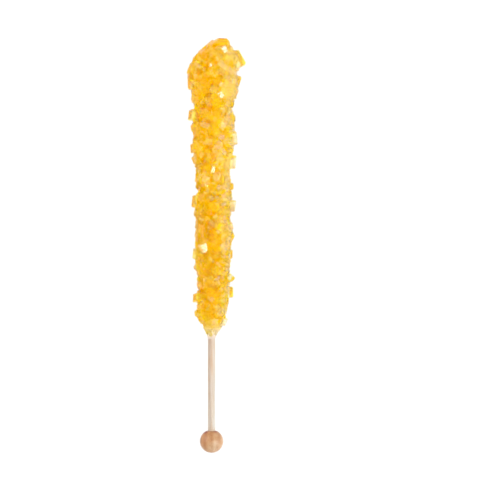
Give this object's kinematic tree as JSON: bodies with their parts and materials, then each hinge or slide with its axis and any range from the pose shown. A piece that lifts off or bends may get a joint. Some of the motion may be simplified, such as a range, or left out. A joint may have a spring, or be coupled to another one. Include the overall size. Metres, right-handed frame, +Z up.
{
  "type": "rock candy stick",
  "caption": "Rock candy on a stick: a long crust of blocky yellow sugar crystals grown on a birch dowel with a turned wooden ball handle.",
  "frame": {"origin": "middle of the bounding box's underside, on the surface that the stick lies on", "axes": "+Y along the stick towards the candy's far end, +X to the right of someone looking down on it with the candy away from them, +Z up"},
  "size_m": [0.0256, 0.178, 0.0211],
  "materials": {
    "sugar": "clear amber sugar crystals over a milky core",
    "birch": "plain sanded birch",
    "beech": "turned and lightly polished wood"
  },
  "bodies": {
    "root": {"candy": "sugar", "stick": "birch", "ball": "beech"}
  },
  "joints": []
}
